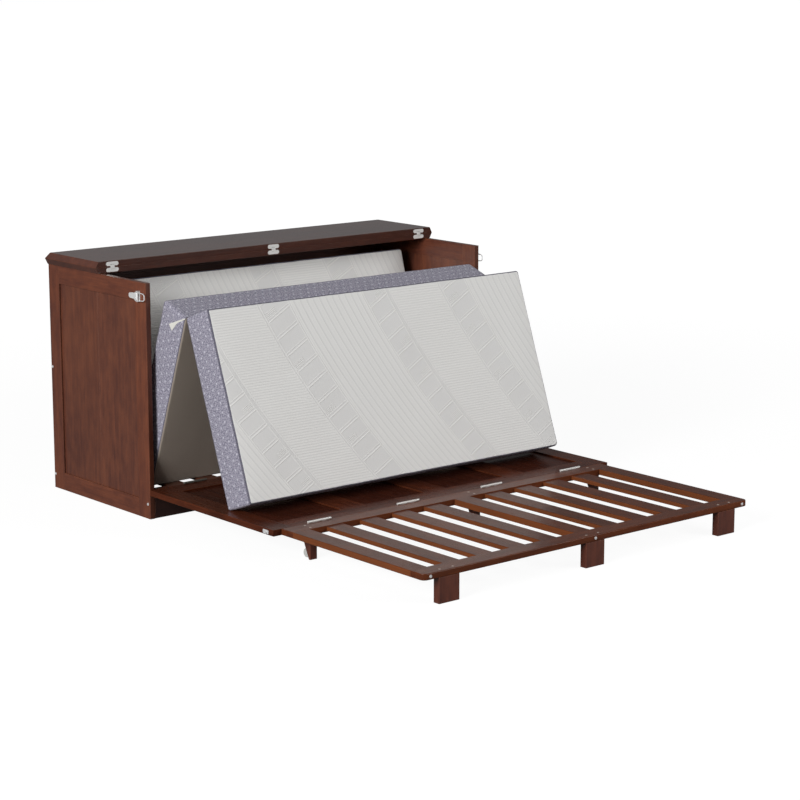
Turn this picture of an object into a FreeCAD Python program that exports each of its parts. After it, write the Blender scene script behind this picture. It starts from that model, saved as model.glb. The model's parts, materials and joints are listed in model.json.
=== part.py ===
import FreeCAD, Part
import math
import os

# Cabinet bed: a low cabinet whose front drops to become half of the bed, a slatted foot section that
# unfolds from it, a top whose front half folds back, and a mattress in three sections folded like a Z.
# Millimetres. While it is built, x runs to the right, y to the back and z up, with y = 0 at the front
# of the cabinet's sides and z = 0 at the floor. The last step moves the middle of the footprint to y = 0.

Vec = FreeCAD.Vector
X, Y, Z = Vec(1, 0, 0), Vec(0, 1, 0), Vec(0, 0, 1)

# ---------------------------------------------------------------- driving dimensions
# clearances
seat_gap = 0.3          # between pieces that rest on or beside each other
joint_gap = 1.0         # between two boards that meet at a hinge
groove_gap = 0.3        # round a board in its groove
knuckle_gap = 0.4       # between neighbouring hinge knuckles
pin_gap = 0.05          # round a hinge pin or an axle

# boards
board = 23.0            # thickness of frame boards
edge_round = 3.0        # rounding along visible board edges
groove_depth = 8.0

# cabinet
cabinet_width = 1652.0
cabinet_depth = 682.0
side_height = 898.0
side_thick = 22.0
stile_width = 76.0
side_rail_top = 70.0
side_rail_bottom = 70.0
side_board = 10.0
seam_width = 4.0        # V along the joint of the two boards in each side
back_board = 12.0
back_board_low = 60.0   # height of its lower edge above the floor
back_rail = 70.0
back_rail_thick = 22.0
kick_thick = 22.0

# deck inside the cabinet
deck_height = 113.0
deck_rail_depth = 25.0
ledger_depth = 20.0
ledger_height = 25.0
slat_thick = 12.0
deck_slats = 10
deck_slat_width = 76.0

# top and flap
top_nose = 53.0         # how far the closed flap reaches past the cabinet's front
top_overhang = 14.0     # past the sides, at the widest line
top_bevel = 12.0        # drawn in over the board's thickness at the ends
flap_bevel = 20.0       # drawn in at the flap's front edge
link_inset = 75.0       # outer link hinges from the ends of the top
link_plate_width = 56.0
link_plate_height = 16.0
link_plate_thick = 2.5
link_width = 18.0
link_thick = 2.4
link_reach = 8.0

# front panel
panel_top_gap = 11.2    # left under the top when it is closed
panel_stile = 86.0
panel_rail_hinge = 84.0
panel_rail_free = 85.0
mullions = 3
mullion_width = 108.0
panel_board = 10.0
panel_recess = 6.0      # from the inner face down to the boards

# foot section
foot_side_gap = 15.5    # between it and the cabinet's sides once it is stowed
foot_rail = 67.0
foot_stile = 74.5
foot_slats = 9          # the middle one is a full-thickness stile
foot_slat_width = 76.0
foot_slat_thick = 15.0
foot_slat_recess = 4.0   # below the rails' top
foot_corner = 20.0

# hinges
barrel_radius = 4.0
barrel_lift = 4.3       # axis above the boards' faces
barrel_length = 104.0
knuckles = 5
pin_radius = 2.0
leaf_thick = 2.0
leaf_height = 19.0
hinges = 4

# legs of the foot section
front_leg_width = 90.0
front_leg_depth = 30.0
front_leg_inset = 113.5 # outer ones from the frame's sides
mid_leg_width = 31.0
mid_leg_top = 53.0
mid_leg_foot = 10.0
mid_leg_inset = 90.5
mid_leg_offset = 75.0   # the middle one stands to the right of the bolted stile

# rollers behind the outer mid legs
roller_radius = 16.0
roller_width = 11.0
roller_setback = 18.4   # axle behind the leg's sloping face
roller_lift = 1.0       # under the wheel when the bed stands on its legs
axle_radius = 2.5
fork_thick = 1.5

# caps and plugs
cap_radius = 5.5
cap_height = 1.2
cap_front = 15.0        # from the cabinet's front edge
cap_rear = 10.0         # from its rear edge
cap_low = 56.0
cap_high = 408.0        # below the sides' upper edge
plug_radius = 4.5
plug_height = 0.6

# draw latches
latch_drop = 52.0       # middle of the latch below the sides' upper edge
latch_pivot = 43.0      # pivot behind the cabinet's front
latch_plate = 1.5
latch_plate_width = 14.0
ear_spread = 18.0       # inner faces of the ears from the latch's middle
ear_thick = 1.6
ear_reach = 13.0
pivot_lift = 8.0        # pivot out from the side
lever_length = 55.0
lever_width = 25.0       # at the pivot
lever_end = 10.0         # radius of its free end
lever_thick = 2.4
bail_offset = 8.0       # bail's pivot behind the lever's pivot
bail_out = 4.0          # and further from the side, so that its arms pass the pivot pin
bail_wire = 1.9         # radius
bail_width = 15.4       # wire centre from the latch's middle
bail_bends = ((30.0, 15.4), (-1.5, 12.6), (-8.0, 8.0))   # behind the cabinet's front, and from the latch's middle
keeper_length = 32.0
keeper_width = 14.0
keeper_thick = 1.6
hook_reach = 6.0

# mattress
mattress_side_room = 42.0
mattress_shift = -18.0  # it stands a little to the left
mattress_headroom = 63.0
mattress_front_room = 57.0   # middle section's foot behind the cabinet's front
section_thick = 148.0    # at its edges; the crown adds to it
section_corner = 12.0
section_crown = 4.0
end_draw = 9.0          # how much the ends are drawn in
tent_lean = 20.0        # degrees, middle section forward and foot section back
head_lean = 16.5        # degrees, head section back
pull_thick = 1.6
pull_outline = (        # behind the upper fold, and above it
    (1.0, -1.0), (58.0, -19.0), (106.0, -35.0), (88.0, -58.0), (66.0, -37.0), (50.0, -24.0), (0.0, -5.0),
)

# ---------------------------------------------------------------- places worked out from them
half_width = cabinet_width / 2
inner_half = half_width - side_thick
frame_under = deck_height - board
back_rail_face = cabinet_depth - back_board - back_rail_thick
hinge_z = deck_height + barrel_lift
hinge_places = [(n - (hinges - 1) / 2) * cabinet_width / hinges for n in range(hinges)]
panel_length = side_height - hinge_z - joint_gap / 2 - panel_top_gap
foot_length = panel_length - joint_gap
foot_width = 2 * (inner_half - foot_side_gap)
top_front = (cabinet_depth - top_nose + joint_gap) / 2
latch_height = side_height - latch_drop
cabinet_hinge_y = -joint_gap / 2
foot_hinge_y = -joint_gap * 1.5 - panel_length
panel_end = -joint_gap - panel_length
foot_start = panel_end - joint_gap
foot_end = foot_start - foot_length
foot_half = foot_width / 2
front_leg_places = (-foot_half + front_leg_inset, 0.0, foot_half - front_leg_inset)
mid_leg_places = (-foot_half + mid_leg_inset, mid_leg_offset, foot_half - mid_leg_inset)
top_face = side_height + board
flap_axis_z = top_face + seat_gap / 2
flap_axis_y = top_front - joint_gap / 2
top_half = half_width + top_overhang
mattress_width = 2 * (inner_half - mattress_side_room)
section_length = side_height - deck_height - mattress_headroom
shift = Vec(0, -(cabinet_depth + foot_end - cap_height) / 2, 0)


# ---------------------------------------------------------------- helpers
def box(x0, x1, y0, y1, z0, z1):
    """A plain block between two corners."""
    return Part.makeBox(x1 - x0, y1 - y0, z1 - z0, Vec(x0, y0, z0))


def rounded(solid, radius, along=None, where=None):
    """Rounds the straight edges that run along a direction and lie where asked."""
    picked = []
    for edge in solid.Edges:
        a, b = edge.Vertexes[0].Point, edge.Vertexes[-1].Point
        run = b - a
        if run.Length < 1e-6:
            continue
        run.normalize()
        if along is not None and abs(abs(run.dot(along)) - 1) > 1e-6:
            continue
        if where is not None and not where((a + b) * 0.5):
            continue
        picked.append(edge)
    return solid.makeFillet(radius, picked) if picked else solid


def cylinder(radius, length, start, along):
    return Part.makeCylinder(radius, length, start, along)


def face_of(points):
    return Part.Face(Part.makePolygon([*points, points[0]]))


def mirrored(solid):
    """The same piece on the other side of the cabinet."""
    return solid.mirror(Vec(0, 0, 0), X)


def save(name, solids):
    """Moves a node's solids to the footprint's middle and writes them."""
    solids = solids if isinstance(solids, list) else [solids]
    shape = solids[0] if len(solids) == 1 else Part.makeCompound(solids)
    shape = shape.copy()
    shape.translate(shift)
    shape.exportStep("parts/" + name + ".step")


# ---------------------------------------------------------------- cabinet sides
def side_frame():
    """Stiles, rails and the two boards of the left side, as a dict of solids."""
    x0, x1 = -half_width, -inner_half
    board_x0 = x0 + (side_thick - side_board) / 2
    board_x1 = board_x0 + side_board
    z0, z1 = side_rail_bottom, side_height - side_rail_top
    y0, y1 = stile_width, cabinet_depth - stile_width
    groove = box(
        board_x0 - groove_gap, board_x1 + groove_gap,
        y0 - groove_depth, y1 + groove_depth, z0 - groove_depth, z1 + groove_depth,
    )

    def outer(point):
        return point.x < x0 + 0.1

    front = rounded(box(x0, x1, 0, y0, 0, side_height), edge_round, Z, lambda p: p.y < 0.1)
    rear = rounded(box(x0, x1, y1, cabinet_depth, 0, side_height), edge_round, Z,
                   lambda p: p.y > cabinet_depth - 0.1 and outer(p))
    top = box(x0, x1, y0, y1, z1, side_height)
    bottom = box(x0, x1, y0, y1, 0, z0)
    middle = (y0 + y1) / 2
    low, high = z0 - groove_depth + groove_gap, z1 + groove_depth - groove_gap
    planks = []
    for a, b in ((y0 - groove_depth + groove_gap, middle), (middle, y1 + groove_depth - groove_gap)):
        plank = box(board_x0, board_x1, a, b, low, high)
        vee = face_of([
            Vec(board_x0 - 1, middle - seam_width / 2 - 1, low),
            Vec(board_x0 - 1, middle + seam_width / 2 + 1, low),
            Vec(board_x0 + seam_width / 2, middle, low),
        ]).extrude(Vec(0, 0, high - low))
        planks.append(plank.cut(vee))
    return {
        "front_stile": front.cut(groove),
        "rear_stile": rear.cut(groove),
        "top_rail": top.cut(groove),
        "bottom_rail": bottom.cut(groove),
        "side_boards": planks,
    }


def cabinet_sides():
    for piece, solids in side_frame().items():
        group = solids if isinstance(solids, list) else [solids]
        save("left_" + piece, group)
        save("right_" + piece, [mirrored(solid) for solid in group])


# ---------------------------------------------------------------- cabinet back, kick board and deck
def cabinet_back():
    y0 = cabinet_depth - back_board
    save("back_board", box(-inner_half, inner_half, y0, cabinet_depth, back_board_low, side_height))
    save("back_rails", [
        box(-inner_half, inner_half, back_rail_face, y0, z, z + back_rail)
        for z in (back_board_low, side_height - back_rail)
    ])


def deck():
    """Kick board, front rail, ledgers and slats inside the cabinet."""
    save("kick_board", rounded(
        box(-inner_half, inner_half, 0, kick_thick, 0, frame_under), edge_round, X,
        lambda p: p.y < 0.1 and p.z < 0.1))
    rail = box(-inner_half, inner_half, 0, deck_rail_depth, frame_under, deck_height)
    for x in hinge_places:
        rail = rail.cut(leaf_pocket(x, 0, 1))
        rail = rail.cut(barrel_room(x, cabinet_hinge_y))
    save("deck_front_rail", rail)
    under = deck_height - slat_thick
    ledgers = [
        box(-inner_half, inner_half, a, a + ledger_depth, under - ledger_height, under)
        for a in (deck_rail_depth, back_rail_face - ledger_depth)
    ]
    save("deck_ledgers", ledgers)
    slats = []
    opening = (2 * inner_half - deck_slats * deck_slat_width) / (deck_slats + 1)
    for n in range(deck_slats):
        x = (n - (deck_slats - 1) / 2) * (opening + deck_slat_width)
        slat = box(x - deck_slat_width / 2, x + deck_slat_width / 2,
                   deck_rail_depth, back_rail_face, under, deck_height)
        slats.append(rounded(slat, edge_round, Y, lambda p: p.z > deck_height - 0.1))
    save("deck_slats", slats)


# ---------------------------------------------------------------- butt hinges with a raised barrel
def knuckle_spans(x):
    """The x ranges of a hinge's knuckles, from left to right."""
    pitch = barrel_length / knuckles
    left = x - barrel_length / 2
    return [(left + n * pitch + knuckle_gap / 2, left + (n + 1) * pitch - knuckle_gap / 2)
            for n in range(knuckles)]


def leaf_pocket(x, face_y, side):
    """Room for one leaf, let into the board whose end face is at face_y; side is the way it goes in."""
    y0, y1 = sorted((face_y, face_y + side * (leaf_thick + groove_gap)))
    half = barrel_length / 2 + groove_gap
    return box(x - half, x + half, y0, y1, deck_height - leaf_height - groove_gap, deck_height)


def barrel_room(x, axis_y):
    """Room for the knuckles that dip below the boards' faces."""
    half = barrel_length / 2 + groove_gap
    return cylinder(barrel_radius + joint_gap / 2, 2 * half, Vec(x - half, axis_y, hinge_z), X)


def hinge_leaf(x, axis_y, face_y, side, own):
    """A leaf with its own knuckles; own is 0 for the outer and middle ones, 1 for those between."""
    y0, y1 = sorted((face_y, face_y + side * leaf_thick))
    top = deck_height - joint_gap
    leaf = box(x - barrel_length / 2, x + barrel_length / 2, y0, y1, deck_height - leaf_height, top)
    for n, (a, b) in enumerate(knuckle_spans(x)):
        if n % 2 != own:
            continue
        knuckle = cylinder(barrel_radius, b - a, Vec(a, axis_y, hinge_z), X)
        leaf = leaf.fuse(box(a, b, y0, y1, top - joint_gap, hinge_z)).fuse(knuckle)
    bore = cylinder(pin_radius + pin_gap, barrel_length + 2, Vec(x - barrel_length / 2 - 1, axis_y, hinge_z), X)
    return leaf.cut(bore).removeSplitter()


def hinge_set(axis_y, near_face, far_face, near_name, far_name, pin_name):
    """Four hinges: leaves on the two boards that meet, and their pins."""
    near = [hinge_leaf(x, axis_y, near_face, 1, 0) for x in hinge_places]
    far = [hinge_leaf(x, axis_y, far_face, -1, 1) for x in hinge_places]
    pins = [cylinder(pin_radius, barrel_length, Vec(x - barrel_length / 2, axis_y, hinge_z), X)
            for x in hinge_places]
    save(near_name, near)
    save(far_name, far)
    save(pin_name, pins)


# ---------------------------------------------------------------- fixed top, flap and link hinges
def stadium(x, z, width, height, y0, y1):
    """A plate with round ends, standing in an edge face."""
    r = height / 2
    flat = width / 2 - r
    plate = box(x - flat, x + flat, y0, y1, z - r, z + r)
    for end in (x - flat, x + flat):
        plate = plate.fuse(cylinder(r, y1 - y0, Vec(end, y0, z), Y))
    return plate.removeSplitter()


def top_board(z_wide, z_narrow, rear_bevel):
    """A board that is widest at z_wide and drawn in towards z_narrow, at its ends and if asked its rear."""
    front = top_front
    wide = [(-top_half, front), (top_half, front), (top_half, cabinet_depth), (-top_half, cabinet_depth)]
    half = top_half - top_bevel
    back = cabinet_depth - rear_bevel
    narrow = [(-half, front), (half, front), (half, back), (-half, back)]
    wires = [
        Part.makePolygon([Vec(px, py, z) for px, py in [*ring, ring[0]]])
        for ring, z in ((wide, z_wide), (narrow, z_narrow))
    ]
    return Part.makeLoft(wires, True, True)


def link_hinges():
    """Boards with let-in plates, and the links that carry the flap over the fixed top."""
    fixed = top_board(top_face, side_height, 0)
    flap = top_board(top_face + seat_gap, top_face + seat_gap + board, flap_bevel)
    fixed = rounded(fixed, edge_round / 2, X, lambda p: p.y < top_front + 1 and p.z < top_face - 1)
    flap = rounded(flap, edge_round / 2, X, lambda p: p.z > top_face + board / 2)
    fixed_plates, flap_plates, links = [], [], []
    fixed_z = top_face - board / 2
    flap_z = top_face + seat_gap + board / 2
    room_reach = link_reach + 1.0
    for x in (-top_half + link_inset, 0.0, top_half - link_inset):
        y1 = top_front + link_plate_thick
        fixed_plate = stadium(x, fixed_z, link_plate_width, link_plate_height, top_front, y1)
        flap_plate = stadium(x, flap_z, link_plate_width, link_plate_height, top_front, y1)
        # the link lies across the joint line when the flap is back, and in the top when it is closed
        half = link_width / 2 + joint_gap / 2
        room = box(x - half, x + half, top_front - 1, top_front + room_reach,
                   flap_axis_z - room_reach, flap_axis_z + room_reach)
        link = box(x - link_width / 2, x + link_width / 2,
                   flap_axis_y - link_thick / 2, flap_axis_y + link_thick / 2,
                   flap_axis_z - link_reach, flap_axis_z + link_reach)
        pin = cylinder(link_thick, link_width, Vec(x - link_width / 2, flap_axis_y, flap_axis_z), X)
        links.append(link.fuse(pin).removeSplitter())
        fixed = fixed.cut(fixed_plate).cut(room)
        flap = flap.cut(flap_plate).cut(room)
        fixed_plates.append(fixed_plate.cut(room))
        flap_plates.append(flap_plate.cut(room))
    save("fixed_top", fixed)
    save("top_flap", flap)
    save("top_hinge_cabinet_plates", fixed_plates)
    save("top_hinge_flap_plates", flap_plates)
    save("top_hinge_links", links)


# ---------------------------------------------------------------- drop-down front panel
def front_panel():
    y_near, y_far = -joint_gap, panel_end
    z0, z1 = frame_under, deck_height
    recess_near, recess_far = y_near - panel_rail_hinge, y_far + panel_rail_free
    board_z1 = z1 - panel_recess
    board_z0 = board_z1 - panel_board
    inner = half_width - panel_stile
    opening = (2 * inner - mullions * mullion_width) / (mullions + 1)
    pitch = opening + mullion_width
    groove = box(-inner - groove_depth, inner + groove_depth,
                 recess_far - groove_depth, recess_near + groove_depth,
                 board_z0 - groove_gap, board_z1 + groove_gap)

    left = box(-half_width, -inner, y_far, y_near, z0, z1)
    left = rounded(left, edge_round, Y, lambda p: p.x < -half_width + 0.1)
    left = left.cut(groove)
    save("panel_left_stile", left)
    save("panel_right_stile", mirrored(left))

    near = box(-inner, inner, recess_near, y_near, z0, z1).cut(groove)
    far = box(-inner, inner, y_far, recess_far, z0, z1).cut(groove)
    for x in hinge_places:
        near = near.cut(leaf_pocket(x, y_near, -1)).cut(barrel_room(x, cabinet_hinge_y))
        far = far.cut(leaf_pocket(x, y_far, 1)).cut(barrel_room(x, foot_hinge_y))
    save("panel_hinge_rail", near)
    save("panel_free_rail", far)

    bars, boards = [], []
    for n in range(mullions):
        x = (n - (mullions - 1) / 2) * pitch
        bar = box(x - mullion_width / 2, x + mullion_width / 2, recess_far, recess_near, z0, z1)
        bars.append(bar.cut(groove_sides(x, recess_far, recess_near, board_z0, board_z1)))
    for n in range(mullions + 1):
        x = (n - mullions / 2) * pitch
        half = opening / 2 + groove_depth - groove_gap
        boards.append(box(x - half, x + half, recess_far - groove_depth + groove_gap,
                          recess_near + groove_depth - groove_gap, board_z0, board_z1))
    save("panel_mullions", bars)
    save("panel_boards", boards)


def groove_sides(x, y0, y1, z0, z1):
    """The grooves along both edges of a mullion."""
    half = mullion_width / 2
    cuts = [box(a, a + groove_depth, y0, y1, z0 - groove_gap, z1 + groove_gap)
            for a in (x - half, x + half - groove_depth)]
    return cuts[0].fuse(cuts[1])


# ---------------------------------------------------------------- slatted foot section
def foot_frame():
    z0, z1 = frame_under, deck_height
    inner_near, inner_far = foot_start - foot_rail, foot_end + foot_rail
    near = box(-foot_half, foot_half, inner_near, foot_start, z0, z1)
    near = rounded(near, edge_round, Y, lambda p: abs(p.x) > foot_half - 0.1)
    for x in hinge_places:
        near = near.cut(leaf_pocket(x, foot_start, -1)).cut(barrel_room(x, foot_hinge_y))
    far = box(-foot_half, foot_half, foot_end, inner_far, z0, z1)
    far = rounded(far, foot_corner, Z, lambda p: p.y < foot_end + 0.1)
    far = rounded_rim(far, edge_round, foot_end)

    left = box(-foot_half, -foot_half + foot_stile, inner_far, inner_near, z0, z1)
    left = rounded(left, edge_round, Y)
    span = foot_width - 2 * foot_stile
    opening = (span - foot_slats * foot_slat_width) / (foot_slats + 1)
    pitch = opening + foot_slat_width
    slats = []
    for n in range(foot_slats):
        step = n - (foot_slats - 1) / 2
        x = step * pitch
        high = z1 if step == 0 else z1 - foot_slat_recess
        low = z0 if step == 0 else high - foot_slat_thick
        slat = box(x - foot_slat_width / 2, x + foot_slat_width / 2, inner_far, inner_near, low, high)
        slat = rounded(slat, edge_round, Y, lambda p: p.z > high - 0.1)
        if step == 0:
            save("foot_centre_stile", slat)
        else:
            slats.append(slat)
    save("foot_hinge_rail", near)
    save("foot_end_rail", far)
    save("foot_left_stile", left)
    save("foot_right_stile", mirrored(left))
    save("foot_slats", slats)


def rounded_rim(solid, radius, end_y):
    """Rounds the upper and lower rim of the end rail, round its corners too."""
    picked = []
    for edge in solid.Edges:
        box_ = edge.BoundBox
        flat = box_.ZLength < 1e-6
        inside = box_.YMin > end_y + foot_rail - 1e-3
        if flat and not inside:
            picked.append(edge)
    return solid.makeFillet(radius, picked)


def front_leg(x):
    leg = box(x - front_leg_width / 2, x + front_leg_width / 2,
              foot_end, foot_end + front_leg_depth, 0, frame_under)
    return rounded(leg, edge_round, Z)


def mid_leg(x):
    """A leg board with a plumb front and a sloping back."""
    front = foot_start - foot_rail
    outline = [
        Vec(x - mid_leg_width / 2, front, 0),
        Vec(x - mid_leg_width / 2, front + mid_leg_foot, 0),
        Vec(x - mid_leg_width / 2, front + mid_leg_top, frame_under),
        Vec(x - mid_leg_width / 2, front, frame_under),
    ]
    leg = face_of(outline).extrude(Vec(mid_leg_width, 0, 0))
    return leg.makeFillet(edge_round * 0.8, [
        e for e in leg.Edges if e.BoundBox.ZLength > frame_under - 1
    ])


def leg_slope_y(z):
    """Where a mid leg's sloping back is at a height."""
    front = foot_start - foot_rail
    return front + mid_leg_foot + (mid_leg_top - mid_leg_foot) * z / frame_under


def roller_parts(x):
    """A wheel, and its axle with the fork plates that hold it behind the leg."""
    z = roller_radius + roller_lift
    y = leg_slope_y(z) + roller_setback + seat_gap
    half = roller_width / 2
    wheel = cylinder(roller_radius, roller_width, Vec(x - half, y, z), X)
    wheel = wheel.makeFillet(1.5, [e for e in wheel.Edges if e.Closed and e.Curve.TypeId == "Part::GeomCircle"])
    wheel = wheel.cut(cylinder(axle_radius + pin_gap, roller_width + 2, Vec(x - half - 1, y, z), X))
    out = half + seat_gap
    fork = cylinder(axle_radius, 2 * (out + fork_thick), Vec(x - out - fork_thick, y, z), X)
    low, high = z - axle_radius * 1.6, z + roller_radius * 0.75
    for a in (x - out - fork_thick, x + out):
        plate = face_of([
            Vec(a, leg_slope_y(low) + seat_gap / 4, low), Vec(a, y + axle_radius * 1.8, low),
            Vec(a, y + axle_radius * 1.8, z + axle_radius * 1.6),
            Vec(a, leg_slope_y(high) + seat_gap / 4, high),
        ]).extrude(Vec(fork_thick, 0, 0))
        fork = fork.fuse(plate)
    return wheel, fork.removeSplitter()


def foot_legs():
    save("front_legs", [front_leg(x) for x in front_leg_places])
    for name, x in zip(("left", "centre", "right"), mid_leg_places):
        save(name + "_mid_leg", mid_leg(x))
    forks = []
    for name, x in (("left", mid_leg_places[0]), ("right", mid_leg_places[2])):
        wheel, fork = roller_parts(x)
        save(name + "_roller", wheel)
        forks.append(fork)
    save("roller_forks", forks)


# ---------------------------------------------------------------- plugs and caps
def dome(radius, height, base, out):
    """A low button: a disc with a rounded rim, on a face that looks along out."""
    disc = cylinder(radius, height, base, out)
    top = max(disc.Edges, key=lambda e: e.BoundBox.Center.dot(out) if e.Closed else -1e9)
    return disc.makeFillet(height * 0.7, [top])


def fasteners():
    plugs = []
    leg_y = foot_end + front_leg_depth / 2 + edge_round
    for x in front_leg_places:
        for step in (-29.0, 29.0):
            plugs.append(dome(plug_radius, plug_height, Vec(x + step, leg_y, deck_height), Z))
    for x in mid_leg_places:
        for step in (17.0, 49.0):
            plugs.append(dome(plug_radius, plug_height, Vec(x, foot_start - step, deck_height), Z))
    save("foot_screw_plugs", plugs)
    ends = [Vec(x, foot_end, deck_height - board / 2)
            for x in (-foot_half + foot_stile / 2 - edge_round * 2, 0.0, foot_half - foot_stile / 2 + edge_round * 2)]
    # the end rail is bolted to its three stiles; the middle cap sits beside the leg's plumb line
    save("foot_bolt_caps", [dome(cap_radius, cap_height, p, Vec(0, -1, 0)) for p in ends])
    caps = []
    rear = cabinet_depth - cap_rear
    for y, z in ((cap_front, cap_low), (rear, cap_low), (rear, side_height - cap_high)):
        left = dome(cap_radius, cap_height, Vec(-half_width, y, z), Vec(-1, 0, 0))
        caps += [left, mirrored(left)]
    save("cabinet_bolt_caps", caps)


# ---------------------------------------------------------------- draw latches
def latch_parts():
    """Left latch: plate with ears and pivot, lever, wire bail, and its keeper on the panel's edge."""
    x0 = -half_width
    pivot_x = x0 - pivot_lift
    y, z = latch_pivot, latch_height
    plate = box(x0 - latch_plate, x0, y - latch_plate_width / 2, y + latch_plate_width / 2,
                z - ear_spread - ear_thick, z + ear_spread + ear_thick)
    plate = rounded(plate, 4.0, X)
    for low in (z - ear_spread - ear_thick, z + ear_spread):
        ear = box(x0 - ear_reach, x0 - latch_plate / 2, y - 6, y + 6, low, low + ear_thick)
        plate = plate.fuse(rounded(ear, 4.0, Z, lambda p: p.x < x0 - ear_reach + 0.1))
    pin_length = 2 * (ear_spread + ear_thick)
    pin = cylinder(1.8, pin_length, Vec(pivot_x, y, z - pin_length / 2), Z)
    plate = plate.fuse(pin).removeSplitter()

    hub = 4.0
    half = lever_width / 2
    outer_x, end_y = pivot_x - lever_thick, y + lever_length - lever_end
    lever = face_of([Vec(outer_x, y, z - half), Vec(outer_x, end_y, z - lever_end),
                     Vec(outer_x, end_y, z + lever_end), Vec(outer_x, y, z + half)]).extrude(X * lever_thick)
    lever = lever.fuse(cylinder(lever_end, lever_thick, Vec(outer_x, end_y, z), X))
    lever = lever.fuse(cylinder(hub, lever_width, Vec(pivot_x, y, z - half), Z))
    bail_y = y + bail_offset
    bail_x = pivot_x - bail_out
    cheek = box(bail_x - 3.0, pivot_x, bail_y - 3.2, bail_y + 3.2, z - half, z + half)
    lever = lever.fuse(cheek)
    lever = lever.cut(cylinder(1.8 + pin_gap, lever_width + 2, Vec(pivot_x, y, z - half - 1), Z))
    lever = lever.cut(cylinder(bail_wire + pin_gap, lever_width + 2, Vec(bail_x, bail_y, z - half - 1), Z))
    lever = lever.removeSplitter()

    arm = [(bail_y, half - 3.0), (bail_y, bail_width), *bail_bends]
    path = [Vec(bail_x, a, z - b) for a, b in arm] + [Vec(bail_x, a, z + b) for a, b in reversed(arm)]
    rods = [cylinder(bail_wire, (b - a).Length, a, b - a) for a, b in zip(path, path[1:])]
    bends = [Part.makeSphere(bail_wire, point) for point in path[1:-1]]
    bail = rods[0].multiFuse(rods[1:] + bends)

    # with the panel down, what will be its height is its distance from the hinge
    keeper_y = cabinet_hinge_y - (latch_height - hinge_z)
    mid_z = deck_height - board / 2
    keeper = box(x0 - keeper_thick, x0, keeper_y - keeper_length / 2, keeper_y + keeper_length / 2,
                 mid_z - keeper_width / 2, mid_z + keeper_width / 2)
    keeper = rounded(keeper, 3.0, X)
    hook = box(x0 - hook_reach, x0 - keeper_thick / 2, keeper_y - 6, keeper_y + 6, mid_z - 1.0, mid_z + 1.0)
    lip = box(x0 - hook_reach, x0 - hook_reach + keeper_thick, keeper_y - 6, keeper_y + 6, mid_z - 6.0, mid_z + 1.0)
    keeper = keeper.fuse(hook).fuse(lip).removeSplitter()
    return plate, lever, bail, keeper


def latches():
    plate, lever, bail, keeper = latch_parts()
    save("latch_plates", [plate, mirrored(plate)])
    save("left_latch_lever", lever)
    save("right_latch_lever", mirrored(lever))
    save("left_latch_bail", bail)
    save("right_latch_bail", mirrored(bail))
    save("latch_keepers", [keeper, mirrored(keeper)])


# ---------------------------------------------------------------- mattress
def turned(y, z, angle):
    a = math.radians(angle)
    return y * math.cos(a) - z * math.sin(a), y * math.sin(a) + z * math.cos(a)


def section_ring(x, shrink):
    """One cross-section of a mattress section: flat sides with a slight crown and round corners."""
    a, b, r = section_length / 2 - seat_gap - shrink, section_thick / 2 - shrink, section_corner
    k = r * (1 - math.sqrt(0.5))

    def arc(p, q, s):
        return Part.Arc(Vec(x, *p), Vec(x, *q), Vec(x, *s)).toShape()

    c = section_crown
    edges = [
        Part.makeLine(Vec(x, -b + r, -a), Vec(x, b - r, -a)),
        arc((b - r, -a), (b - k, -a + k), (b, -a + r)),
        arc((b, -a + r), (b + c, 0), (b, a - r)),
        arc((b, a - r), (b - k, a - k), (b - r, a)),
        Part.makeLine(Vec(x, b - r, a), Vec(x, -b + r, a)),
        arc((-b + r, a), (-b + k, a - k), (-b, a - r)),
        arc((-b, a - r), (-b - c, 0), (-b, -a + r)),
        arc((-b, -a + r), (-b + k, -a + k), (-b + r, -a)),
    ]
    return Part.Wire(edges)


def mattress_section(corner, inward, lean):
    """A section whose lower corner is given in y and z; inward is 1 if its thickness lies behind it."""
    half = mattress_width / 2
    turn = [math.radians(angle) for angle in (0, 22.5, 45, 67.5, 90)]
    right = [(half - end_draw * 2 * (1 - math.cos(a)), end_draw * (1 - math.sin(a))) for a in turn]
    stations = [(-x, s) for x, s in right] + [(x, s) for x, s in reversed(right)]
    solid = Part.makeLoft([section_ring(x, s) for x, s in stations], True, True)
    y, z = turned(inward * section_thick / 2, section_length / 2, lean)
    solid.rotate(Vec(0, 0, 0), X, lean)
    solid.translate(Vec(mattress_shift, corner[0] + y, corner[1] + z))
    return solid


def mattress():
    lean = math.radians(tent_lean)
    round_lift = section_corner * (math.cos(lean) + math.sin(lean) - 1)
    corner_z = deck_height - round_lift
    run, rise = section_length * math.sin(lean), section_length * math.cos(lean)
    across, up = turned(section_thick, 0, tent_lean)
    fold_y = mattress_front_room - run
    fold = (mattress_front_room + across, corner_z + up)
    save("mattress_middle_section", mattress_section((fold_y + run, corner_z), 1, tent_lean))
    save("mattress_foot_section", mattress_section((fold_y - run, corner_z), -1, -tent_lean))
    save("mattress_head_section", mattress_section(fold, 1, -head_lean))
    cord_radius = section_corner * (math.sqrt(2) - 1) - seat_gap
    length = mattress_width - 60.0
    save("mattress_fold_cord", cylinder(
        cord_radius, length, Vec(mattress_shift - length / 2, fold[0], fold[1]), X))
    # the zip's pull, a tape that ends in a flag, hangs from the upper fold against the middle section's left end
    x1 = mattress_shift - mattress_width / 2 - seat_gap
    pull = face_of([Vec(x1, fold_y + a, corner_z + rise + b) for a, b in pull_outline])
    save("mattress_zip_pull", pull.extrude(X * -pull_thick))
    print("fold line", round(fold[0] + shift.y, 3), round(fold[1], 3),
          "upper fold", round(fold_y + shift.y, 3), round(corner_z + rise, 3))


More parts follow.
